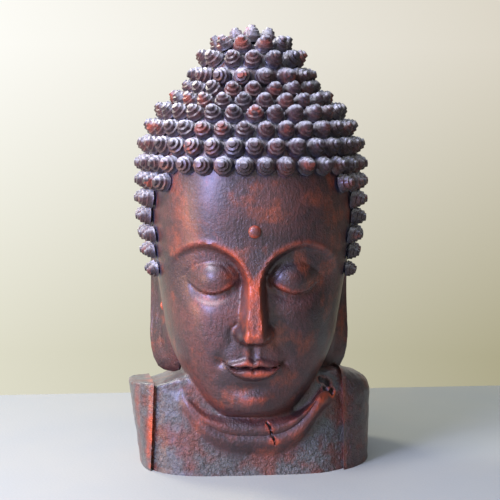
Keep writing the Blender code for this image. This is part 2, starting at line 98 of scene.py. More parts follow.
# The head's stations from crown to neck, in parts: front height and depth, back height and
# depth, and half width
STATIONS = np.array(
    [
        (293.0, 3.0, 293.0, 3.0, 0.0),
        (290.0, -12.0, 290.0, 18.0, 15.0),
        (283.0, -23.0, 283.0, 29.5, 25.5),
        (272.5, -31.0, 271.5, 38.0, 33.0),
        (261.0, -35.0, 259.5, 43.0, 37.0),
        (251.5, -44.0, 250.0, 55.0, 47.5),
        (242.5, -54.0, 240.0, 66.5, 58.5),
        (231.5, -63.0, 227.5, 76.0, 65.5),
        (220.0, -69.0, 214.0, 81.5, 69.5),
        (208.0, -72.0, 201.0, 84.0, 70.0),
        (192.0, -74.0, 184.0, 84.0, 70.0),
        (173.0, -75.0, 165.0, 81.0, 69.0),
        (155.0, -75.0, 148.0, 76.5, 67.0),
        (140.0, -73.5, 134.0, 71.0, 65.0),
        (124.0, -73.0, 121.0, 65.0, 62.5),
        (108.0, -72.5, 109.0, 58.5, 60.0),
        (95.0, -72.0, 100.0, 51.0, 58.0),
        (82.0, -71.5, 93.0, 48.5, 54.5),
        (70.0, -70.0, 87.0, 47.0, 50.0),
        (60.0, -68.5, 82.0, 46.0, 45.0),
        (51.5, -65.0, 78.0, 45.5, 40.5),
        (47.0, -58.0, 75.0, 45.5, 40.0),
        (43.5, -56.0, 72.0, 46.0, 46.0),
        (37.5, -59.0, 68.0, 47.0, 54.0),
        (30.5, -60.0, 63.0, 48.0, 57.0),
        (23.5, -58.5, 57.0, 49.0, 57.0),
        (16.0, -50.0, 45.0, 48.0, 48.0),
        (10.0, -2.0, 30.0, 2.0, 0.0),
    ]
)
HAIRLINE_STATION = 9
NECK_STATION = 22
SHOULDER_FRONT = 62.0
SHOULDER_LEAN = 16.0
EAR_LEVEL = 108.5
CURL_LINE = 212.0
URNA_LEVEL = 172.0
URNA_DEPTH = -75.0
CROWN_FULLNESS = 2.1
FACE_FULLNESS = 2.35
NECK_FULLNESS = 3.4

# The solid's middle before it was stood over the origin, in metres
MIDDLE = (-0.000212, 0.000967)

# The camera, matched to the outline of the hair and the base
CAMERA_TURN = -6.0
CAMERA_RISE = 8.5
CAMERA_ROLL = 0.4
CAMERA_DISTANCE = 0.95
CAMERA_LENS = 98.5
CAMERA_AIM = (0.0, 0.0, 0.1425)
SENSOR = 36.0
PICTURE = 500.0

# Damage that the photograph shows, in its pixels, and its sizes in metres
CRACK_PIXELS = [(265, 415), (267, 422.5), (270, 427.5), (271.5, 434), (274, 439), (275, 445)]
CHIP_PIXELS = [(323, 379), (328, 383), (326, 388), (332, 391)]
CRACK_DEPTH = 0.0021
CHIP_DEPTH = 0.0027
CHIP_RADIUS = 0.0030
CRACK_ZONE = 0.003
CRACK_HALF_WIDTH = 0.0004
CRACK_SWELL = 0.0008
CRACK_WANDER = 0.0005
CHIP_RAGGEDNESS = 0.0022
# No damage lies higher than this. The mesh is made finer within these reaches of it, where its edges
# are longer than this
DAMAGE_TOP = 0.08
FINER_WITHIN = (0.0035, 0.0022)
LONG_EDGE = 0.0004

# The carving's fineness: rows and columns of each form's ball, and the angle in degrees beyond which
# an edge stays crisp
HEAD_GRID = (214, 208)
CHEST_GRID = (84, 236)
EAR_GRID = (44, 60)
URNA_GRID = (14, 24)
SHARP_ANGLE = 47.0

# How near to a form's surface, in metres, a vertex counts as lying on it, and the rounds of
# smoothing that run the neck into the chest: how far the passage spreads, and how soft it gets
ON_SURFACE = 0.0006
JOIN_SPREAD = 8
JOIN_ROUNDS = 14

# Relief of the casting: how deep its pits are on the chest and on the skin in metres, and how far
# apart they are in millimetres
PIT_DEPTH = 0.00075
SKIN_PIT_DEPTH = 0.00006
BROAD_PITS = 6.5
SMALL_PITS = 3.6

# The patina. A bend is how much the surface curves outwards, one over its radius in metres. Bends
# are found over a few edges and over many, and wear and dust fade in between two of them
FINE_STEPS = 4
BROAD_STEPS = 30
WEAR_BENDS = (38.0, 130.0)
CURL_WEAR_BENDS = (220.0, 520.0)
FINE_DUST_BENDS = (30.0, 160.0)
BROAD_DUST_BENDS = (10.0, 70.0)
NECK_WEAR = 0.5
MOUTH_WEAR = 0.4
SOFTENING = 4

# Where the curls, the chest and the neck lie by height, and a curl's extent round its middle
CURLS_ABOVE = 0.095
CURL_REACH = 0.0100
CURL_FADE = (0.0068, 0.0086)
CURL_MIDDLE = 0.004
CURL_TOP = 0.011
CHEST_BELOW = 0.09
NECK_BELOW = 0.042

# The stage, in metres: where the floor ends behind the bust, and its width and depth
FLOOR_BACK = 0.165
FLOOR_SIZE = (2.8, 1.6)

# The lamps: name, place, what it points at, diameter, power in watts and colour
LAMPS = [
    ("window", (-0.62, -0.42, 0.85), (0.0, 0.0, 0.18), 0.30, 12.0, "#f0ecff"),
    ("cool sky", (-0.72, -0.70, 0.42), (0.0, 0.0, 0.18), 0.30, 12.0, "#b2b8ff"),
    ("room", (-0.88, -0.30, 0.12), (0.0, 0.0, 0.12), 0.35, 4.2, "#ffb27c"),
    ("behind", (-0.55, 0.55, 0.75), (0.0, 0.0, 0.25), 0.30, 6.0, "#fff6e6"),
]


def bell(distance, width):
    """A soft bump of height 1 that fades out beyond its width."""
    return np.exp(-((distance / width) ** 2))


def ramp(value, low, high):
    """A smooth step from 0 at low to 1 at high."""
    share = np.clip((value - low) / (high - low), 0.0, 1.0)
    return share * share * (3.0 - 2.0 * share)


def soft_max(a, b, blend):
    """The larger of two values, with a soft passage from one to the other."""
    return 0.5 * (a + b + np.sqrt((a - b) ** 2 + blend**2))


def curve(points, where):
    """A smooth line through points, (where, value) in rising order, read at where."""
    points = np.asarray(points, float)
    x, y = points[:, 0], points[:, 1:]
    slope = np.gradient(y, x, axis=0)
    where = np.clip(where, x[0], x[-1])
    left = np.clip(np.searchsorted(x, where, side="right") - 1, 0, len(x) - 2)
    gap = x[left + 1] - x[left]
    t = ((where - x[left]) / gap)[..., None]
    gap = gap[..., None]
    value = (
        (2 * t**3 - 3 * t**2 + 1) * y[left]
        + (t**3 - 2 * t**2 + t) * gap * slope[left]
        + (-2 * t**3 + 3 * t**2) * y[left + 1]
        + (t**3 - t**2) * gap * slope[left + 1]
    )
    return value[..., 0] if y.shape[1] == 1 else value


def distance_to_line(points, x, z):
    """The distance from (x, z) to a smooth line through points, and how far along it."""
    points = np.asarray(points, float)
    steps = np.linspace(0, len(points) - 1, 90)
    line = curve(np.column_stack([np.arange(len(points)), points]), steps)
    gap = np.hypot(x[:, None] - line[None, :, 0], z[:, None] - line[None, :, 1])
    nearest = gap.argmin(axis=1)
    return gap[np.arange(len(x)), nearest], steps[nearest]


# The face, in parts: x is the distance from the middle line and z the height

BROW_LINE = (
    (5.0, 104.0),
    (4.4, 116.0),
    (3.6, 128.0),
    (3.6, 139.0),
    (6.0, 148.0),
    (13.0, 156.5),
    (23.0, 162.0),
    (34.0, 163.5),
    (45.0, 160.0),
    (54.0, 152.5),
    (60.0, 143.0),
)


def nose(x, z):
    """A straight bridge with crisp edges, a round tip and two wings."""
    base = NOSE_LEVEL
    height = curve(
        [
            (base - 8, 0.0),
            (base - 3.0, 1.0),
            (base + 0.5, 9.0),
            (base + 3.5, 18.5),
            (base + 7.0, 20.5),
            (base + 12.0, 19.5),
            (base + 22.0, 14.5),
            (base + 32.0, 9.5),
            (base + 41.0, 6.0),
            (base + 50.0, 3.0),
            (base + 60.0, 0.6),
            (base + 70.0, 0.0),
        ],
        z,
    )
    height = np.where((z < base - 8) | (z > base + 70), 0.0, np.maximum(height, 0.0))
    edges = [
        (95, 4.5, 10.5),
        (106, 5.0, 11.0),
        (117, 4.2, 10.0),
        (129, 3.4, 9.0),
        (142, 3.6, 9.5),
        (150, 7.0, 16.0),
        (165, 16.0, 34.0),
    ]
    bridge, foot = curve(edges, z).T
    share = np.clip((x - bridge) / (foot - bridge), 0.0, 1.0)
    ridge = height * (1.0 - ramp(share, 0.0, 1.0) ** 0.8)
    wing = 10.5 - 10.5 * (((x - 7.6) / 5.4) ** 2 + ((z - base - 4.2) / 6.0) ** 2)
    crease = 0.8 * bell(np.hypot((x - 7.6) / 1.05, z - base - 4.2) - 7.4, 1.2)
    crease *= ramp(x, 7.0, 11.0) * ramp(z, base + 1.0, base + 4.0)
    return soft_max(ridge, wing, 1.4) - crease


def eye_socket(x, z):
    """The hollow under the brow line, deep beside the nose and fading towards the temple."""
    gap, along = distance_to_line(BROW_LINE, x, z)
    top = curve([(0, 139), *BROW_LINE[4:]], x)
    side = curve([(90, 5.0), (104, 5.0), (116, 4.4), (128, 3.6), (139, 3.6), (148, 6.0), (200, 6.0)], z)
    inside = np.where((z < top) & (x > side), gap, -gap)
    depth = curve([(0, 9.0), (12, 9.0), (20, 7.0), (32, 5.2), (46, 3.6), (56, 1.4), (62, 0.0)], x)
    hollow = ramp(inside, -0.6, 5.2) * (1.0 - ramp(EYE_LEVEL - z, -4.0, 22.0))
    lip = 0.7 * bell(gap, 2.0) * ramp(along, 2.0, 5.0) * (1.0 - ramp(x, 50.0, 60.0))
    return lip - depth * hollow * (1.0 - ramp(x, 48.0, 60.0))


def lids(x, z):
    """The ball of the closed eye, and where it stands out of the socket."""
    return 1.2 - 9.0 * (((x - 27.5) / 18.5) ** 2 + ((z - EYE_LEVEL - 0.5) / 14.5) ** 2)


def lid_line(x):
    """The height of the line where the closed lids meet."""
    inner = 0.5 * EYE_WIDTH
    slit = [(0, 0), (inner, -1.6), (inner + 7, -5.2), (inner + 15, -7.4), (inner + 23, -5.8)]
    return EYE_LEVEL + curve([*slit, (inner + 30, -1.2), (60, 1)], x)


def mouth(x, z):
    """Full closed lips with a bowed upper edge and tucked corners."""
    middle = MOUTH_LEVEL
    half = 0.78 * EYE_WIDTH
    part = middle + curve([(0, -0.6), (4, 0.3), (10, -0.3), (16, 0.9), (half + 1, 2.8), (60, 3.0)], x)
    upper = middle + curve([(0, 5.4), (3.6, 7.2), (9, 5.8), (15, 3.9), (half + 1, 2.9), (60, 3.0)], x)
    lower = middle + curve([(0, -9.0), (6, -8.4), (12, -5.6), (17, -1.2), (half + 1, 2.6), (60, 3.0)], x)
    fade = 1.0 - ramp(x, half - 6.0, half + 1.0)
    up = np.clip((z - part) / np.maximum(upper - part, 0.3), 0, 1)
    down = np.clip((part - z) / np.maximum(part - lower, 0.3), 0, 1)
    lips = 3.2 * np.sin(math.pi * up**0.85) ** 0.8 * fade**0.6
    lips += 4.0 * np.sin(math.pi * down**0.8) ** 0.8 * fade**0.8
    seam = 1.6 * bell(z - part, 0.9) * (1.0 - ramp(x, half, half + 3.0))
    tuck = 2.4 * bell(np.hypot(x - half - 1.2, z - middle - 2.8), 3.6)
    muzzle = 3.0 * bell(x, 22.0) * bell(z - middle, 15.0)
    philtrum = (0.5 * bell(x - 4.0, 1.6) - 1.0 * bell(x, 2.2)) * ramp(z, middle + 5, middle + 9)
    philtrum *= 1.0 - ramp(z, NOSE_LEVEL - 4, NOSE_LEVEL)
    return muzzle + lips - seam - tuck + philtrum


def face_relief(x, z):
    """How far the face stands in front of the plain egg of the head, in parts."""
    x = np.abs(x)
    slit = lid_line(x)
    inner, outer = 0.5 * EYE_WIDTH, 1.72 * EYE_WIDTH
    along = ramp(x, inner - 1.5, inner + 3.0) * (1.0 - ramp(x, outer - 4.0, outer + 1.5))
    hollow = eye_socket(x, z)
    eye = soft_max(hollow, lids(x, z), 1.6)
    below = slit - z
    eye -= 1.9 * along * ramp(below, -0.3, 0.5) * (1.0 - ramp(below, 1.5, 9.0))
    eye += 0.7 * along * bell(below + 1.1, 1.0) + 0.5 * along * bell(below - 3.2, 1.5)
    crease = [(inner + 1, EYE_LEVEL + 3), (20, 149), (30, 150.5), (39, 147), (45, 140.5)]
    fold, _ = distance_to_line(crease, x, z)
    eye -= 0.55 * bell(fold, 0.9)
    cheek = 3.2 * bell(x - 35.0, 19.0) * bell(z - 106.0, 21.0)
    furrow, _ = distance_to_line([(13.5, 102.0), (18.0, 95.0), (24.0, 86.0), (25.0, 78.0)], x, z)
    chin = 4.6 * bell(x, 14.0) * bell(z - CHIN - 8.5, 9.5)
    groove = 2.2 * bell(x, 14.0) * bell(z - CHIN - 20.0, 4.2)
    return eye + nose(x, z) + mouth(x, z) + cheek - 0.7 * bell(furrow, 3.2) + chin - groove


# The forms: each takes row shares from 0 to 1 and column angles, and gives points in parts


def head_surface(station, angle):
    """The plain head at a station and an angle from the middle of the face, positive to +X."""
    ring = curve(np.column_stack([np.arange(len(STATIONS)), STATIONS]), station)
    front, back, width = ring[:, 1::-1], ring[:, 3:1:-1], np.maximum(ring[:, 4], 0.0)
    middle = 0.5 * (front + back)
    full = CROWN_FULLNESS + (FACE_FULLNESS - CROWN_FULLNESS) * ramp(station, 7.0, 11.0)
    full += (NECK_FULLNESS - FACE_FULLNESS) * ramp(station, 20.0, NECK_STATION + 0.5)
    sine, cosine = np.sin(angle), np.cos(angle)
    reach = np.clip(1.0 - np.abs(sine) ** full, 0.0, 1.0) ** (1.0 / full)
    end = np.where((cosine > 0)[:, None], front, back)
    across = middle + (end - middle) * reach[:, None]
    return np.column_stack([width * sine, across[:, 0], across[:, 1]])


def neck_folds(station):
    """Two soft rolls round the neck, in parts of bulge."""
    turn = np.clip((station - NECK_STATION + 0.2) / 1.75, 0.0, 2.0)
    return 2.6 * np.abs(np.sin(math.pi * turn)) ** 0.6


def head(rows, columns):
    """The head and neck with the face on it. Rows crowd over the face."""
    crowd = [(0.0, 0.0), (0.16, 9.0), (0.24, 11.0), (0.90, 21.5), (0.985, 26.0), (1.0, 27.0)]
    station = np.interp(rows, *zip(*crowd))
    angle = columns - 0.42 * np.sin(columns)
    points = head_surface(station, angle)
    front = 1.0 - ramp(np.abs(angle), math.radians(62), math.radians(84))
    shown = ramp(station, 9.0, 10.0) * (1.0 - ramp(station, 20.6, 22.0))
    relief = face_relief(points[:, 0], points[:, 2]) * front * shown
    points[:, 1] -= relief
    points[:, 2] -= 0.10 * np.clip(relief - 6.0, 0.0, None)
    collar = ramp(station, NECK_STATION - 0.5, NECK_STATION + 1.0) * ramp(-points[:, 1], 0.0, 30.0)
    points[:, 2] += 24.0 * collar * np.clip(np.abs(points[:, 0]) / 45.0, 0.0, 0.98) ** 3
    outward = points * (1.0, 1.0, 0.0)
    outward /= np.maximum(np.linalg.norm(outward, axis=1), 1e-6)[:, None]
    return turned(points + outward * neck_folds(station)[:, None])


def turned(points):
    """Points of the head turned about the upright axis as the head is on its shoulders."""
    return points @ np.array(Matrix.Rotation(math.radians(HEAD_TURN), 3, "Z")).T


def shoulders(rows, columns, extra=0.0):
    """The block of chest and shoulders. It runs below the ground, to be cut flat there."""
    high = SHOULDER_HEIGHT / PART + extra
    sine, cosine = np.sin(columns), np.cos(columns)
    left, right = ramp(-sine, 0.35, 0.75), ramp(sine, 0.35, 0.75)
    corner = 9.0 - 7.0 * left + 6.0 * right
    swing = 0.5 * math.pi * np.clip((rows - 0.30) / 0.16, 0.0, 1.0)
    flat = np.clip(rows / 0.30, 0.0, 1.0)
    drop = np.clip((rows - 0.46) / 0.38, 0.0, 1.0)
    reach = flat * (1.0 - corner / 60.0) + np.sin(swing) * corner / 60.0
    reach *= np.clip((1.0 - rows) / 0.16, 0.0, 1.0)
    top = high - corner * (1.0 - np.cos(swing))
    height = top - (high - corner + extra) * drop
    share = np.clip(height / high, 0.0, 1.0)
    full = 3.8 - 1.0 * right
    front = -SHOULDER_FRONT + SHOULDER_LEAN * share - extra
    back = SHOULDER_DEPTH / PART - SHOULDER_FRONT + extra
    end = np.where(cosine > 0, front, back)
    middle = 0.5 * (front + back)
    curved = np.clip(1.0 - np.abs(sine) ** full, 0.0, 1.0) ** (1.0 / full)
    wide = 0.5 * SHOULDER_WIDTH / PART + extra
    x = wide * (1.0 - (0.035 + 0.065 * left) * (1.0 - share)) * reach * sine
    y = middle + (end - middle) * reach * curved
    rise = 8.0 * (1.0 - ramp(np.abs(x), 40.0, 72.0)) + 6.0 * ramp(x, 40.0, 60.0)
    rise -= 0.17 * (y - front)
    return np.column_stack([x, y, height + rise * share])


def ear(rows, columns):
    """The ear on the +X side: a rolled rim, a hollow shell and a long lobe that turns outwards."""
    outline = [(-180, 46), (-168, 45), (-155, 34), (-135, 20), (-110, 14), (-90, 12.5), (-60, 14.5)]
    outline += [(-30, 26), (0, 42), (30, 34), (60, 24), (90, 19), (120, 19), (140, 23), (155, 34)]
    outline += [(168, 45), (180, 46)]
    around = np.degrees(columns)
    swing = math.pi * rows
    share = np.sin(swing) ** 0.75
    side = np.cos(swing)
    reach = curve(outline, around) * share
    back, up = reach * np.sin(columns), reach * np.cos(columns)
    thick = 0.5 * EAR_THICKNESS * np.sign(side) * np.abs(side) ** 0.55
    upper = ramp(up, -20.0, -8.0)
    rim = ramp(around, -75.0, -45.0) * (1.0 - ramp(around, 140.0, 165.0))
    fold = bell(share - 0.55, 0.10) * ramp(around, 0, 40) * upper
    relief = 1.6 * bell(share - 0.86, 0.10) * rim + 1.3 * fold
    relief -= 2.4 * (1.0 - ramp(share, 0.50, 0.75)) * upper
    relief += 2.6 * bell(np.hypot(back + 8.5, up - 1.0), 3.4)
    relief -= 1.2 * bell(back, 1.8) * ramp(-up, 13.0, 19.0) * (1.0 - ramp(-up, 30.0, 37.0))
    thick = np.where(side > 0, thick + relief, thick)
    height = EAR_LEVEL + up
    # Height, distance from the middle line, depth, and the angle it flares out at
    ways = [
        (62, 56.0, 4.0, 52.0),
        (75, 58.0, 5.0, 48.0),
        (90, 59.5, 7.0, 36.0),
        (110, 60.5, 10.0, 20.0),
        (135, 63.0, 12.0, 12.0),
        (155, 67.0, 14.0, 8.0),
    ]
    middle, behind, flare = curve(ways, height).T
    flare = np.radians(flare)
    x = middle + back * np.sin(flare) + thick * np.cos(flare)
    y = behind + back * np.cos(flare) - thick * np.sin(flare)
    return np.column_stack([x, y, height])


def ear_right(rows, columns):
    """The ear on the +X side, turned with the head."""
    return turned(ear(rows, columns))


def ear_left(rows, columns):
    """Its mirror image."""
    return turned(ear(rows, columns) * (-1.0, 1.0, 1.0))


def urna(rows, columns):
    """The raised dot on the brow, on the middle line above the brows."""
    radius = 0.5 * URNA_DIAMETER
    reach = np.sin(math.pi * rows)
    level = np.cos(math.pi * rows)
    ball = np.column_stack([reach * np.sin(columns), -reach * np.cos(columns), level])
    return turned(ball * (radius, 0.62 * radius, radius) + (0.0, URNA_DEPTH, URNA_LEVEL))


# The curls


def scalp_point(station, angle):
    """One place on the scalp."""
    return head_surface(np.array([station]), np.array([angle]))[0]


def scalp_normal(station, angle):
    """The outward direction of the scalp."""
    down = scalp_point(station + 0.05, angle) - scalp_point(station - 0.05, angle)
    across = scalp_point(station, angle + 0.02) - scalp_point(station, angle - 0.02)
    return Vector(np.cross(down, across)).normalized()


def row_stations():
    """Stations of the rows of curls, a spacing apart down the side of the head."""
    stations = np.linspace(0.0, 18.0, 1200)
    side = np.array([scalp_point(s, 0.5 * math.pi) for s in stations])
    along = np.concatenate([[0.0], np.cumsum(np.linalg.norm(np.diff(side, axis=0), axis=1))])
    gap = 0.90 * CURL_SPACING
    first = np.interp(HAIRLINE_STATION - 0.4, stations, along) % gap
    return np.interp(np.arange(first, along[-1], gap), along, stations)


def has_hair(point):
    """Whether a place on the head carries a curl: not on the face, the ears or below the nape."""
    x, y, z = point
    if z > CURL_LINE - 1.0:
        return True
    temple = -34.0 - 22.0 * float(ramp(z, 188.0, CURL_LINE - 2.0))
    if y < temple or z < 136.0 and y < 22.0:
        return False
    by_ear = math.hypot((y - 13.0) / 21.0, (z - EAR_LEVEL - 8.0) / 34.0) < 1.0
    return not by_ear and z > 100.0


def curl_places():
    """Where the curls stand, in sets whose curls don't touch each other: neighbours in a row are
    in two sets, and so are rows. A place is a point on the scalp, a direction and a size."""
    chance = random.Random(11)
    top = (Vector(scalp_point(0.0, 0.0)), Vector((0.0, 0.0, 1.0)), 1.0)
    places = [[], [], [], [], [top]]
    angles = np.linspace(-math.pi, math.pi, 721)
    for row, station in enumerate(row_stations()):
        ring = head_surface(np.full(len(angles), station), angles)
        along = np.concatenate([[0.0], np.cumsum(np.linalg.norm(np.diff(ring, axis=0), axis=1))])
        count = 2 * int(round(0.5 * along[-1] / CURL_SPACING))
        if count < 4:
            continue
        for k in range(count):
            step = (k + 0.5 * (row % 2) + chance.uniform(-0.04, 0.04)) / count
            angle = float(np.interp(step * along[-1], along, angles))
            point = scalp_point(station, angle)
            if has_hair(point):
                size = 0.78 + 0.22 * float(ramp(point[2], 145.0, 180.0)) if point[1] < 0 else 1.0
                lean = Vector([chance.uniform(-0.04, 0.04) for _ in range(3)])
                direction = (scalp_normal(station, angle) + lean).normalized()
                places[2 * (row % 2) + k % 2].append((Vector(point), direction, size))
    return places


# The curls, finer than in the solid: each ring of a curl from its tip to its root, as a share of
# the radius and of the length
CURL_PROFILE = [
    (0.0, 1.0),
    (0.36, 0.97),
    (0.43, 0.80),
    (0.66, 0.76),
    (0.72, 0.53),
    (0.91, 0.48),
    (0.95, 0.22),
    (1.05, 0.14),
    (0.0, -0.14),
]
CURL_SIDES = 9
CURL_HEIGHT_SHARE = 0.97
TURN_RISE = 0.07
FULL_TURN = 6.28


def snail_curl():
    """One curl: a blunt cone wound in three turns, each turn a step wider than the one above."""
    mesh = bmesh.new()
    rows = len(CURL_PROFILE) - 1
    bmesh.ops.create_uvsphere(mesh, u_segments=CURL_SIDES, v_segments=rows, radius=1.0)
    root = 0.5 * CURL_BREADTH * PART
    length = (CURL_LENGTH - CURL_SINK) * PART * CURL_HEIGHT_SHARE
    for vert in mesh.verts:
        place = math.acos(max(-1.0, min(1.0, vert.co.z))) / math.pi * rows
        reach, high = CURL_PROFILE[int(round(place))]
        turn = math.atan2(vert.co.y, vert.co.x)
        if reach > 0.0 and place > 1.5:
            high += TURN_RISE * math.cos(turn)
        vert.co = (root * reach * math.cos(turn), root * reach * math.sin(turn), length * high)
    data = bpy.data.meshes.new("curl")
    mesh.to_mesh(data)
    mesh.free()
    return data


def curl_set(one, places, chance):
    """A set of curls as one mesh, each turned its own way round its axis."""
    mesh = bmesh.new()
    for point, direction, size in places:
        upright = Vector((0.0, 0.0, 1.0)).rotation_difference(direction).to_matrix().to_4x4()
        upright = upright @ Matrix.Rotation(chance.uniform(0.0, FULL_TURN), 4, "Z")
        place = Matrix.Rotation(math.radians(HEAD_TURN), 4, "Z") @ Matrix.Translation(point * PART)
        known = len(mesh.verts)
        mesh.from_mesh(one)
        mesh.verts.ensure_lookup_table()
        grown = Matrix.Scale(size * chance.uniform(0.94, 1.0), 4)
        bmesh.ops.transform(mesh, matrix=place @ upright @ grown, verts=mesh.verts[known:])
    return finished("curls", mesh)


# Building


def numbers(items, name, width, kind=np.float32):
    """One property of all of a mesh's items, as rows of numbers."""
    values = np.empty(len(items) * width, kind)
    items.foreach_get(name, values)
    return values.reshape(-1, width)


def move_to(data, points):
    """Puts a mesh's vertices at new places."""
    data.vertices.foreach_set("co", points.astype(np.float32).ravel())
    data.update()


def pressed_ball(name, rows, columns, form):
    """A ball of rows and columns whose points are placed by form(row shares, column angles)."""
    mesh = bmesh.new()
    bmesh.ops.create_uvsphere(mesh, u_segments=columns, v_segments=rows, radius=1.0)
    obj = finished(name, mesh)
    ball = numbers(obj.data.vertices, "co", 3).astype(float)
    share = np.arccos(np.clip(ball[:, 2], -1.0, 1.0)) / math.pi
    turn = np.arctan2(ball[:, 0], -ball[:, 1])
    move_to(obj.data, form(share, turn) * PART)
    face_outwards(obj.data)
    return obj


def face_outwards(data):
    """Turns a closed mesh's faces outwards."""
    mesh = bmesh.new()
    mesh.from_mesh(data)
    bmesh.ops.recalc_face_normals(mesh, faces=mesh.faces)
    mesh.to_mesh(data)
    mesh.free()


def finished(name, mesh):
    """A bmesh as an object of the scene."""
    data = bpy.data.meshes.new(name)
    mesh.to_mesh(data)
    mesh.free()
    obj = bpy.data.objects.new(name, data)
    bpy.context.scene.collection.objects.link(obj)
    return obj


def cut_flat(mesh, place, way):
    """Cuts off what lies beyond a plane and closes the cut."""
    cut = bmesh.ops.bisect_plane(
        mesh,
        geom=mesh.verts[:] + mesh.edges[:] + mesh.faces[:],
        plane_co=place,
        plane_no=way,
        clear_outer=True,
    )
    rim = [e for e in cut["geom_cut"] if isinstance(e, bmesh.types.BMEdge)]
    bmesh.ops.holes_fill(mesh, edges=rim)


def robe_side(side, rows, columns):
    """The robe over one shoulder: the block's own shape a little larger, cut off at its edge."""
    obj = pressed_ball("robe", rows, columns, lambda r, c: shoulders(r, c, ROBE_THICKNESS / PART))
    mesh = bmesh.new()
    mesh.from_mesh(obj.data)
    edge = side * 0.5 * ROBE_EDGE_SPACING + ROBE_EDGE_SHIFT
    lean = math.tan(math.radians(ROBE_EDGE_LEAN)) if side < 0 else 0.0
    cut_flat(mesh, (edge, 0.0, SHOULDER_HEIGHT), (-side, 0.0, side * lean))
    mesh.to_mesh(obj.data)
    mesh.free()
    face_outwards(obj.data)
    return obj


def applied(obj, modifier):
    """Applies an object's one modifier to its mesh."""
    bpy.context.view_layer.update()
    seen = obj.evaluated_get(bpy.context.evaluated_depsgraph_get())
    data = bpy.data.meshes.new_from_object(seen)
    obj.modifiers.remove(modifier)
    obj.data = data


def join(obj, others):
    """The union of an object with others, which are removed."""
    for other in others:
        union = obj.modifiers.new("union", "BOOLEAN")
        union.operation = "UNION"
        union.solver = "MANIFOLD"
        union.object = other
        applied(obj, union)
        bpy.data.objects.remove(other)


def camera_place():
    """The camera's place and turn."""
    turn, rise = math.radians(CAMERA_TURN), math.radians(CAMERA_RISE)
    back = Vector((math.sin(turn) * math.cos(rise), -math.cos(turn) * math.cos(rise), math.sin(rise)))
    look = (-back).to_track_quat("-Z", "Y").to_matrix().to_4x4()
    look = look @ Matrix.Rotation(math.radians(CAMERA_ROLL), 4, "Z")
    return Matrix.Translation(Vector(CAMERA_AIM) + back * CAMERA_DISTANCE) @ look


def seen_at(tree, pixel):
    """The place on the carving that a pixel of the photograph shows."""
    across = (pixel[0] - 0.5 * PICTURE) / PICTURE * SENSOR / CAMERA_LENS
    up = (0.5 * PICTURE - pixel[1]) / PICTURE * SENSOR / CAMERA_LENS
    camera = camera_place()
    way = camera.to_3x3() @ Vector((across, up, -1.0)).normalized()
    return tree.ray_cast(camera.translation, way)[0]


def stand_on_ground(obj):
    """Cuts the carving level at the ground and stands it over the origin, as the solid is."""
    mesh = bmesh.new()
    mesh.from_mesh(obj.data)
    cut_flat(mesh, (0.0, 0.0, GROUND * PART), (0.0, 0.0, -1.0))
    bmesh.ops.triangulate(mesh, faces=mesh.faces)
    shift = Vector((-MIDDLE[0], -MIDDLE[1], -GROUND * PART))
    bmesh.ops.translate(mesh, vec=shift, verts=mesh.verts)
    mesh.to_mesh(obj.data)
    mesh.free()


def gap_to_path(point, path):
    """The distance from a point to a line of points, and the share of the way along it."""
    best = (math.inf, 0.0)
    for k, (start, end) in enumerate(zip(path, path[1:])):
        way = end - start
        share = max(0.0, min(1.0, (point - start).dot(way) / way.length_squared))
        best = min(best, ((point - start - way * share).length, (k + share) / (len(path) - 1)))
    return best


def close_to(point, crack, chips, reach):
    """Whether a place on the front of the block is near the crack or a chip."""
    if point.y > 0.0 or point.z > DAMAGE_TOP:
        return False
    by_chip = any((point - chip).length < 2.0 * reach for chip in chips)
    return by_chip or gap_to_path(point, crack)[0] < reach


def cracked(obj):
    """Presses in the crack down the front of the neck and the chips in the edge of the robe, where
    the mesh is first made finer, and keeps how broken each place is."""
    tree = surface_tree(obj.data)
    crack = [seen_at(tree, pixel) for pixel in CRACK_PIXELS]
    chips = [seen_at(tree, pixel) for pixel in CHIP_PIXELS]
    mesh = bmesh.new()
    mesh.from_mesh(obj.data)
    for reach in FINER_WITHIN:
        long = [e for e in mesh.edges if e.calc_length() > LONG_EDGE]
        near = [e for e in long if close_to(0.5 * (e.verts[0].co + e.verts[1].co), crack, chips, reach)]
        bmesh.ops.subdivide_edges(mesh, edges=near, cuts=1, use_grid_fill=True)
        bmesh.ops.triangulate(mesh, faces=mesh.faces)
    mesh.normal_update()
    broken = mesh.verts.layers.float.new("broken")
    moves = []
    for vert in mesh.verts:
        gap, along = gap_to_path(vert.co, crack)
        if gap < CRACK_ZONE:
            wander = CRACK_WANDER * cloud.noise(vert.co * 900.0)
            swell = math.sin(math.pi * min(1.0, 0.12 + 0.8 * along))
            wide = CRACK_HALF_WIDTH + CRACK_SWELL * swell
            moves.append((vert, CRACK_DEPTH, max(0.0, 1.0 - abs(gap + wander) / wide)))
        gap = min((vert.co - chip).length for chip in chips)
        if gap < 2.0 * CHIP_RADIUS:
            gap += CHIP_RAGGEDNESS * cloud.noise(vert.co * 380.0)
            moves.append((vert, CHIP_DEPTH, min(1.0, max(0.0, 1.0 - gap / CHIP_RADIUS) * 2.4)))
    for vert, depth, share in moves:
        vert.co -= vert.normal * depth * share
        vert[broken] = max(vert[broken], share)
    mesh.to_mesh(obj.data)
    mesh.free()


def on_chest(points, chest_trees):
    """Which points, on the bust as it stands, lie on the chest or the robe."""
    shift = Vector((MIDDLE[0], MIDDLE[1], GROUND * PART))
    shares = np.zeros(len(points))
    for k in np.flatnonzero(points[:, 2] < CHEST_BELOW):
        here = Vector(points[k]) + shift
        shares[k] = any(tree.find_nearest(here, ON_SURFACE)[0] is not None for tree in chest_trees)
    return shares


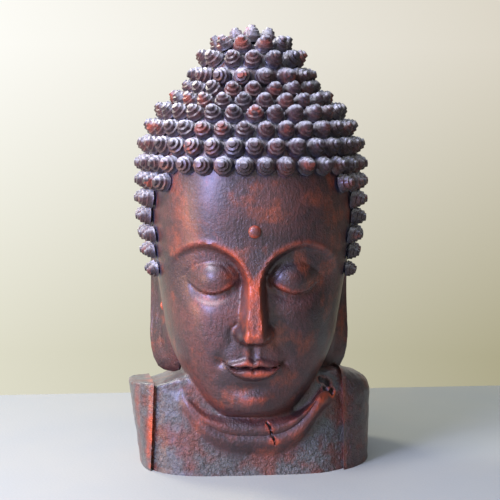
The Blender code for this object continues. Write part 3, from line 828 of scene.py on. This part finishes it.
def soften_joins(obj, chest_trees):
    """Lets the neck run softly into the chest, as in a casting."""
    points, _, edges, count = arrays(obj.data)
    share = on_chest(points, chest_trees)[:, None]
    for _ in range(JOIN_SPREAD):
        share = neighbours_mean(share, edges, count)
    near = np.clip(5.0 * share * (1.0 - share), 0.0, 1.0)
    in_front = ramp(-points[:, 1], 0.008, 0.022)
    inside_ears = ramp(-np.abs(points[:, 0]), -0.048, -0.040)
    near *= np.maximum(in_front, inside_ears)[:, None]
    for _ in range(JOIN_ROUNDS):
        points += near * (neighbours_mean(points, edges, count) - points)
    points[:, 2] = np.maximum(points[:, 2], 0.0)
    move_to(obj.data, points)


def surface_tree(data):
    """A mesh's surface, to find the nearest place on it."""
    points = [vert.co.copy() for vert in data.vertices]
    return BVHTree.FromPolygons(points, [tuple(face.vertices) for face in data.polygons])


def carving():
    """The whole bust as one closed mesh, and the surfaces of its chest and robe."""
    bust = pressed_ball("bust", *HEAD_GRID, head)
    forms = [pressed_ball("shoulders", *CHEST_GRID, shoulders)]
    forms += [robe_side(1, *CHEST_GRID), robe_side(-1, *CHEST_GRID)]
    chest = [surface_tree(form.data) for form in forms]
    forms += [pressed_ball("ear", *EAR_GRID, form) for form in (ear_right, ear_left)]
    forms += [pressed_ball("urna", *URNA_GRID, urna)]
    join(bust, forms)
    one = snail_curl()
    chance = random.Random(5)
    join(bust, [curl_set(one, places, chance) for places in curl_places()])
    return bust, chest


def hammered(obj):
    """The fine relief of the casting, pressed inwards: pits on the chest, faint waves on the skin."""
    points, normals, _, _ = arrays(obj.data)
    chest, hair, broken = (
        numbers(obj.data.attributes[name].data, "value", 1)[:, 0] for name in ("chest", "hair", "broken")
    )
    broad, small = np.zeros(len(points)), np.zeros(len(points))
    for k in np.flatnonzero(hair < 0.5):
        here = Vector(points[k])
        broad[k] = cloud.noise(here * per_metre(BROAD_PITS))
        small[k] = cloud.noise(here * per_metre(SMALL_PITS) + Vector((7.0, 3.0, 5.0)))
    pits = np.clip(0.55 - broad, 0.0, 1.2) * 0.55 + np.clip(0.5 - small, 0.0, 1.0) * 0.45
    depth = pits * (SKIN_PIT_DEPTH + (PIT_DEPTH - SKIN_PIT_DEPTH) * chest) * (1.0 - broken) * (1.0 - hair)
    depth *= ramp(points[:, 2], 0.0, 0.003)
    move_to(obj.data, points - normals * depth[:, None])


# The patina: numbers on the mesh that the material reads


def arrays(data):
    """Points, normals and edges of a mesh, and how many edges meet at each point."""
    points = numbers(data.vertices, "co", 3).astype(float)
    normals = numbers(data.vertices, "normal", 3).astype(float)
    edges = numbers(data.edges, "vertices", 2, np.int32)
    return points, normals, edges, np.bincount(edges.ravel(), minlength=len(points)).astype(float)


def neighbours_mean(values, edges, count):
    """The mean over each vertex's neighbours and itself."""
    total = values.copy()
    for axis in range(values.shape[1]):
        total[:, axis] += np.bincount(edges[:, 0], values[edges[:, 1], axis], len(values))
        total[:, axis] += np.bincount(edges[:, 1], values[edges[:, 0], axis], len(values))
    return total / (count + 1.0)[:, None]


def put(data, name, values):
    """Keeps a share from 0 to 1 for each vertex under a name."""
    layer = data.attributes.new(name, "FLOAT", "POINT")
    layer.data.foreach_set("value", np.clip(values, 0.0, 1.0).astype(np.float32))


def bends(points, normals, edges, count):
    """How much the surface bends outwards at each vertex, over a few edges and over many: how far
    it stands out from its own smoothed shape, by the square of the edges' length."""
    squares = np.linalg.norm(points[edges[:, 0]] - points[edges[:, 1]], axis=1) ** 2
    spacing = sum(np.bincount(edges[:, k], squares, len(points)) for k in (0, 1)) / count
    for _ in range(SOFTENING):
        spacing = neighbours_mean(spacing[:, None], edges, count)[:, 0]
    smooth = points
    found = []
    for step in range(1, BROAD_STEPS + 1):
        smooth = neighbours_mean(smooth, edges, count)
        if step in (FINE_STEPS, BROAD_STEPS):
            found.append(((points - smooth) * normals).sum(axis=1) / (0.4 * step * spacing))
    return found


def near_curls(points):
    """For each vertex: whether it is on a curl, how far up that curl, and the curl's own tint."""
    turn = Matrix.Rotation(math.radians(HEAD_TURN), 3, "Z")
    curls = [place for places in curl_places() for place in places]
    roots = [(turn @ (point * PART), turn @ way, size) for point, way, size in curls]
    tree = KDTree(len(roots))
    for k, (root, way, _) in enumerate(roots):
        tree.insert(root + way * CURL_MIDDLE, k)
    tree.balance()
    chance = random.Random(3)
    tints = [chance.random() for _ in roots]
    hair, tip, tint = (np.zeros(len(points)) for _ in range(3))
    for k in np.flatnonzero(points[:, 2] > CURLS_ABOVE - GROUND * PART):
        here = Vector(points[k]) + Vector((MIDDLE[0], MIDDLE[1], GROUND * PART))
        _, nearest, gap = tree.find(here)
        if gap < CURL_REACH:
            root, way, size = roots[nearest]
            hair[k] = 1.0 - float(ramp(gap, *CURL_FADE))
            tip[k] = (here - root).dot(way) / (CURL_TOP * size)
            tint[k] = tints[nearest]
    return hair, tip, tint


def robe_edges(points):
    """The places across of the robe's left and right edges, at each vertex's height."""
    shift = ROBE_EDGE_SHIFT - MIDDLE[0]
    lean = math.tan(math.radians(ROBE_EDGE_LEAN)) * (SHOULDER_HEIGHT - points[:, 2] - GROUND * PART)
    return shift - 0.5 * ROBE_EDGE_SPACING - lean, shift + 0.5 * ROBE_EDGE_SPACING


def patina(obj, chest_trees):
    """Keeps on the mesh where it is worn or dusty, which places are curls or chest, how far
    each lies on the right of the robe, for a painted shade there, and what faces up."""
    data = obj.data
    points, normals, edges, count = arrays(data)
    fine, broad = bends(points, normals, edges, count)
    hair, tip, tint = near_curls(points)
    chest = on_chest(points, chest_trees)[:, None]
    for _ in range(3):
        chest = neighbours_mean(chest, edges, count)
    chest = chest[:, 0]
    across, behind, up = points.T
    wear = ramp(0.5 * fine + 0.5 * broad, *WEAR_BENDS) * (1.0 - hair) + hair * ramp(fine, *CURL_WEAR_BENDS)
    wear *= np.where((up < NECK_BELOW) & (chest < 0.5), NECK_WEAR, 1.0)
    wear *= 1.0 - (1.0 - MOUTH_WEAR) * bell(up - (MOUTH_LEVEL - GROUND) * PART, 0.010)
    for _ in range(SOFTENING):
        softer = neighbours_mean(wear[:, None], edges, count)[:, 0]
        wear = np.where(hair > 0.3, wear, softer)
    left, right = robe_edges(points)
    rims = bell(across - left + 0.0012, 0.0026) + 0.5 * bell(across - right - 0.0010, 0.0018)
    rims += 0.8 * bell(across + 0.0800, 0.0030) * ramp(-behind, 0.02, 0.04)
    rims *= (chest > 0.5) & (behind < 0.045) & (up > 0.002)
    put(data, "wear", np.maximum(np.clip(1.6 * wear, 0.0, 1.0), 0.8 * np.clip(rims, 0.0, 1.0)))
    put(data, "dust", ramp(-broad, *BROAD_DUST_BENDS) + ramp(-fine, *FINE_DUST_BENDS))
    put(data, "hair", hair)
    put(data, "tip", tip)
    put(data, "tint", tint)
    put(data, "chest", chest)
    # A painted shade: the grey wash thins towards the right of the robe, so that side shows darker
    put(data, "robe_right_shade", ramp(across - right, 0.0, 0.004) * chest)
    put(data, "upward", normals[:, 2])


# Materials

# The stone's patterns: how far apart their spots are in millimetres, their detail, roughness and
# twist. Grit and brush strokes are finer on the real one and drawn coarse enough to show
PATTERNS = {
    "clouds": (30.0, 6.0, 0.62, 0.6),
    "patches": (16.0, 4.0, 0.55, 0.0),
    "blotches": (7.0, 5.0, 0.65, 0.0),
    "hammering": (2.8, 3.0, 0.6, 0.5),
    "specks": (2.0, 3.0, 0.6, 0.0),
    "strokes": (1.6, 3.0, 0.55, 0.0),
    "grit": (1.1, 2.0, 0.6, 0.0),
}
BRUSH_STRETCH = (1.0, 1.0, 0.3)

# A coat is a colour and the parts whose product says how much of it shows. A part is a number of
# the mesh by its name, or a pattern or number and where its step starts and ends, with the share
# at the end and at the start
GREY_WASH = (
    "#585c59",
    [
        ("#66382c", [("patches", 0.44, 0.62, 1.0, 0.0)]),
        ("#2c1c1b", [("specks", 0.42, 0.64, 0.5, 0.0)]),
    ],
)
# The curls' near-black stain, laid on thickest at their roots as a painted shade
CURL_STAIN_AND_SHADE = ("#0d0e18", [("#1e1920", [("blotches", 0.45, 0.62, 1.0, 0.0)])])
# A speckled blue-grey between the curls, paler where it faces up as dust with painted light from above
CURL_BLUE_WITH_PAINTED_LIGHT = ("#3c4364", [("#9c9ca6", [("upward", 0.15, 0.60, 1.0, 0.0)])])
STAIN = "#2d1a1e"
COATS = [
    # The stain's warm clouds, its rusty patches and dark blotches, and the brush's dark strokes
    ("#542923", [("clouds", 0.36, 0.64, 1.0, 0.0)]),
    ("#8a3c1c", [("patches", 0.50, 0.68, 0.6, 0.0)]),
    ("#3a1a12", [("blotches", 0.50, 0.66, 0.55, 0.0)]),
    ("#1e0e0b", [("strokes", 0.44, 0.64, 0.45, 0.0)]),
    # The grey wash on the chest, thinner on the right of the robe as a painted shade that darkens that
    # side
    ("grey wash", ["chest", ("clouds", 0.30, 0.60, 0.95, 0.7), ("robe_right_shade", 0.0, 1.0, 0.2, 1.0)]),
    # The curls: near black and darker at the roots as painted shade, some with a reddish tip, pale dust
    # with painted light on their upward faces, and a speckled blue-grey between them
    # Near black, most at the roots of the curls: a painted shade between them
    ("curl stain and shade", ["hair", ("tip", -0.1, 0.5, 0.5, 0.95)]),
    (
        "#8e3a20",
        [
            "hair",
            ("tint", 0.5, 1.0, 0.85, 0.0),
            ("tip", 0.25, 0.8, 1.0, 0.0),
            ("blotches", 0.46, 0.58, 1.0, 0.0),
        ],
    ),
    # Pale dust on the curls' upward faces, also painted light from above
    ("#bec0c2", ["hair", ("upward", 0.25, 0.85, 1.0, 0.0), ("specks", 0.36, 0.56, 0.85, 0.3)]),
    # Blue-grey between the curls, paler where it faces up: dust with painted light from above
    ("curl blue with painted light", ["hair", ("tip", 0.40, -0.15, 0.65, 0.0), ("specks", 0.30, 0.55, 1.0, 0.0)]),
    # Dark grit in the skin, and dust in the pits of the chest
    ("#1c0f10", ["skin", ("grit", 0.50, 0.66, 0.35, 0.0)]),
    ("#8f8580", ["dust", "chest", ("specks", 0.42, 0.68, 0.35, 0.0)]),
    # The orange-red ground where rubbing has bared it, paler where it is rubbed most
    (
        "#bb481b",
        [
            ("wear", 0.1, 0.9, 1.0, 0.0),
            ("patches", 0.34, 0.60, 0.95, 0.15),
            ("blotches", 0.30, 0.55, 1.0, 0.35),
            ("hair", 0.0, 1.0, 0.30, 1.0),
        ],
    ),
    ("#d8703a", [("wear", 0.7, 1.0, 0.6, 0.0), ("patches", 0.48, 0.60, 1.0, 0.0)]),
    # The dark inside of the crack and the chips
    ("#120a09", [("broken", 0.1, 0.7, 0.9, 0.0)]),
]

# What adds to the lacquer's roughness, and the bumps: pattern, strength and height in metres
ROUGHNESS = [
    [("clouds", 0.30, 0.70, 0.52, 0.38)],
    [("blotches", 0.35, 0.70, 0.12, 0.0)],
    ["hair", 0.12],
]
BUMPS = [
    ("cast", 1.0, 0.0028),
    ("blotches", 0.6, 0.0010),
    ("specks", 0.7, 0.0007),
    ("grit", 0.6, 0.0005),
    ("strokes", 0.7, 0.0006),
]
STONE_IOR = 1.5
LACQUER = {"Coat Weight": 0.6, "Coat Roughness": 0.32}


def linear(colour):
    """An sRGB hex colour as linear red, green, blue and alpha."""
    parts = [int(colour[k : k + 2], 16) / 255.0 for k in (1, 3, 5)]
    return [p / 12.92 if p <= 0.04045 else ((p + 0.055) / 1.055) ** 2.4 for p in parts] + [1.0]


def per_metre(millimetres):
    """The scale of a pattern whose spots are this far apart."""
    return 1000.0 / millimetres


def node(tree, kind, inputs=None, out=None, **settings):
    """Adds a node with its settings, and numbers or links for its inputs. Gives its output."""
    made = tree.nodes.new(kind)
    for name, value in settings.items():
        setattr(made, name, value)
    for name, value in (inputs or {}).items():
        if isinstance(value, bpy.types.NodeSocket):
            tree.links.new(value, made.inputs[name])
        else:
            made.inputs[name].default_value = value
    return made.outputs[out] if out else next(o for o in made.outputs if o.enabled)


def product(tree, values, parts, steps="SMOOTHSTEP"):
    """The product of a coat's parts."""
    share = None
    for part in parts:
        if isinstance(part, tuple):
            name, low, high, top, bottom = part
            ends = {"From Min": low, "From Max": high, "To Min": bottom, "To Max": top}
            ends["Value"] = values[name]
            value = node(tree, "ShaderNodeMapRange", ends, interpolation_type=steps)
        else:
            value = values.get(part, part)
        if share is not None:
            both = {0: share, 1: value}
            value = node(tree, "ShaderNodeMath", both, operation="MULTIPLY", use_clamp=True)
        share = value
    return share


def painted(tree, values, ground, coats, steps="SMOOTHSTEP"):
    """A ground colour under its coats. A colour is a hex value or the name of a mixed one."""
    colour = values.get(ground) or linear(ground)
    for over, parts in coats:
        share = product(tree, values, parts, steps)
        both = {0: share, 6: colour, 7: values.get(over) or linear(over)}
        colour = node(tree, "ShaderNodeMix", both, data_type="RGBA")
    return colour


def patinated_stone():
    """Cast stone, poured in a mould, given a red-brown stain and lacquered by brush. The stain pools in
    mottled clouds, the satin lacquer gives a soft sheen, rubbing has bared an orange-red ground on the
    ridges, and pale dust lies on and between the curls and in the pits of the chest. Painted light makes
    the curls paler where they face up, and painted shade makes them darker at their roots and the right
    of the robe darker."""
    material = bpy.data.materials.new("patinated cast stone")
    material.use_nodes = True
    tree = material.node_tree
    shader = tree.nodes["Principled BSDF"]
    place = node(tree, "ShaderNodeTexCoord", out="Object")
    brushed = node(tree, "ShaderNodeMapping", {"Vector": place, "Scale": BRUSH_STRETCH})
    values = {}
    for name in ("wear", "dust", "hair", "tip", "tint", "chest", "robe_right_shade", "upward", "broken"):
        values[name] = node(tree, "ShaderNodeAttribute", out="Fac", attribute_name=name)
    for name, (size, detail, rough, twist) in PATTERNS.items():
        look = {"Scale": per_metre(size), "Detail": detail, "Roughness": rough, "Distortion": twist}
        look["Vector"] = brushed if name == "strokes" else place
        values[name] = node(tree, "ShaderNodeTexNoise", look)
    all_but_hair = {0: 1.0, 1: values["hair"]}
    values["skin"] = node(tree, "ShaderNodeMath", all_but_hair, operation="SUBTRACT", use_clamp=True)
    values["cast"] = product(tree, values, ["hammering", ("chest", 0.0, 1.0, 1.0, 0.16)])
    values["grey wash"] = painted(tree, values, *GREY_WASH)
    values["curl stain and shade"] = painted(tree, values, *CURL_STAIN_AND_SHADE)
    values["curl blue with painted light"] = painted(tree, values, *CURL_BLUE_WITH_PAINTED_LIGHT)
    tree.links.new(painted(tree, values, STAIN, COATS), shader.inputs["Base Color"])
    rough = 0.0
    for parts in ROUGHNESS:
        both = {0: rough, 1: product(tree, values, parts)}
        rough = node(tree, "ShaderNodeMath", both, operation="ADD", use_clamp=True)
    tree.links.new(rough, shader.inputs["Roughness"])
    grain = None
    for name, strength, height in BUMPS:
        inputs = {"Height": values[name], "Strength": strength, "Distance": height}
        if grain:
            inputs["Normal"] = grain
        grain = node(tree, "ShaderNodeBump", inputs)
    tree.links.new(grain, shader.inputs["Normal"])
    shader.inputs["IOR"].default_value = STONE_IOR
    for name, value in LACQUER.items():
        shader.inputs[name].default_value = value
    return material


def pale_cloth():
    """A pale, tightly woven cover with a faint sheen: plain, a little cloudy, its threads drawn
    coarse enough to show."""
    material = bpy.data.materials.new("pale woven cover")
    material.use_nodes = True
    tree = material.node_tree
    shader = tree.nodes["Principled BSDF"]
    place = node(tree, "ShaderNodeTexCoord", out="Object")
    clouds = {"Vector": place, "Scale": per_metre(90.0), "Detail": 4.0}
    threads = {"Vector": place, "Scale": per_metre(2.0), "Detail": 2.0}
    tones = {0: node(tree, "ShaderNodeTexNoise", clouds), 6: linear("#a9ab9b"), 7: linear("#9aa19b")}
    relief = {"Height": node(tree, "ShaderNodeTexNoise", threads), "Strength": 0.3, "Distance": 0.0004}
    tree.links.new(node(tree, "ShaderNodeMix", tones, data_type="RGBA"), shader.inputs["Base Color"])
    tree.links.new(node(tree, "ShaderNodeBump", relief), shader.inputs["Normal"])
    shader.inputs["Roughness"].default_value = 0.7
    return material


# The stage: floor, light and camera


def floor():
    """A plain pale floor that ends a little behind the bust."""
    mesh = bmesh.new()
    bmesh.ops.create_grid(mesh, x_segments=8, y_segments=8, size=1.0)
    for vert in mesh.verts:
        vert.co.x *= 0.5 * FLOOR_SIZE[0]
        vert.co.y = FLOOR_BACK - (1.0 - vert.co.y) * 0.5 * FLOOR_SIZE[1]
    obj = finished("floor", mesh)
    obj.data.materials.append(pale_cloth())


def surroundings():
    """Soft daylight from all round, brighter on the left. Its colour depends on the direction."""
    world = bpy.data.worlds.new("pale room")
    bpy.context.scene.world = world
    world.use_nodes = True
    tree = world.node_tree
    way = node(tree, "ShaderNodeTexCoord", out="Generated")
    values = {axis: node(tree, "ShaderNodeSeparateXYZ", {0: way}, out=axis) for axis in ("X", "Z")}
    to_right = [("X", -0.08, 0.28, 1.0, 0.0)]
    values["low"] = painted(tree, values, "#dedcc9", [("#aea98c", to_right)], "LINEAR")
    values["high"] = painted(tree, values, "#fefdf7", [("#dcd6c8", to_right)], "LINEAR")
    coats = [
        ("high", [("Z", -0.22, 0.0, 1.0, 0.0)]),
        ("#cdd6f2", [("Z", 0.2, 0.7, 1.0, 0.0)]),
        ("#69645d", [("X", 0.32, 0.6, 1.0, 0.0)]),
    ]
    back = tree.nodes["Background"]
    tree.links.new(painted(tree, values, "low", coats, "LINEAR"), back.inputs["Color"])
    back.inputs["Strength"].default_value = 1.0


def lamp(name, place, aim, size, energy, colour):
    """A round soft lamp at a place, pointed at another."""
    light = bpy.data.lights.new(name, "AREA")
    light.shape = "DISK"
    light.size = size
    light.energy = energy
    light.color = linear(colour)[:3]
    obj = bpy.data.objects.new(name, light)
    obj.location = place
    obj.rotation_euler = (Vector(aim) - Vector(place)).to_track_quat("-Z", "Y").to_euler()
    bpy.context.scene.collection.objects.link(obj)


def camera():
    """The camera at the photograph's angle."""
    data = bpy.data.cameras.new("camera")
    data.lens = CAMERA_LENS
    data.sensor_width = SENSOR
    obj = bpy.data.objects.new("camera", data)
    obj.matrix_world = camera_place()
    bpy.context.scene.collection.objects.link(obj)
    bpy.context.scene.camera = obj


def main():
    """Makes the bust and its stage."""
    bpy.context.scene.view_settings.view_transform = "Standard"
    bust, chest = carving()
    stand_on_ground(bust)
    soften_joins(bust, chest)
    cracked(bust)
    move_to(bust.data, np.clip(arrays(bust.data)[0], *CAD_BOX))
    patina(bust, chest)
    hammered(bust)
    bust.data.shade_smooth()
    bust.data.set_sharp_from_angle(angle=math.radians(SHARP_ANGLE))
    bust.data.materials.clear()
    bust.data.materials.append(patinated_stone())
    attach(bust, "root")
    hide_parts("buddha_head")
    floor()
    surroundings()
    for values in LAMPS:
        lamp(*values)
    camera()


main()
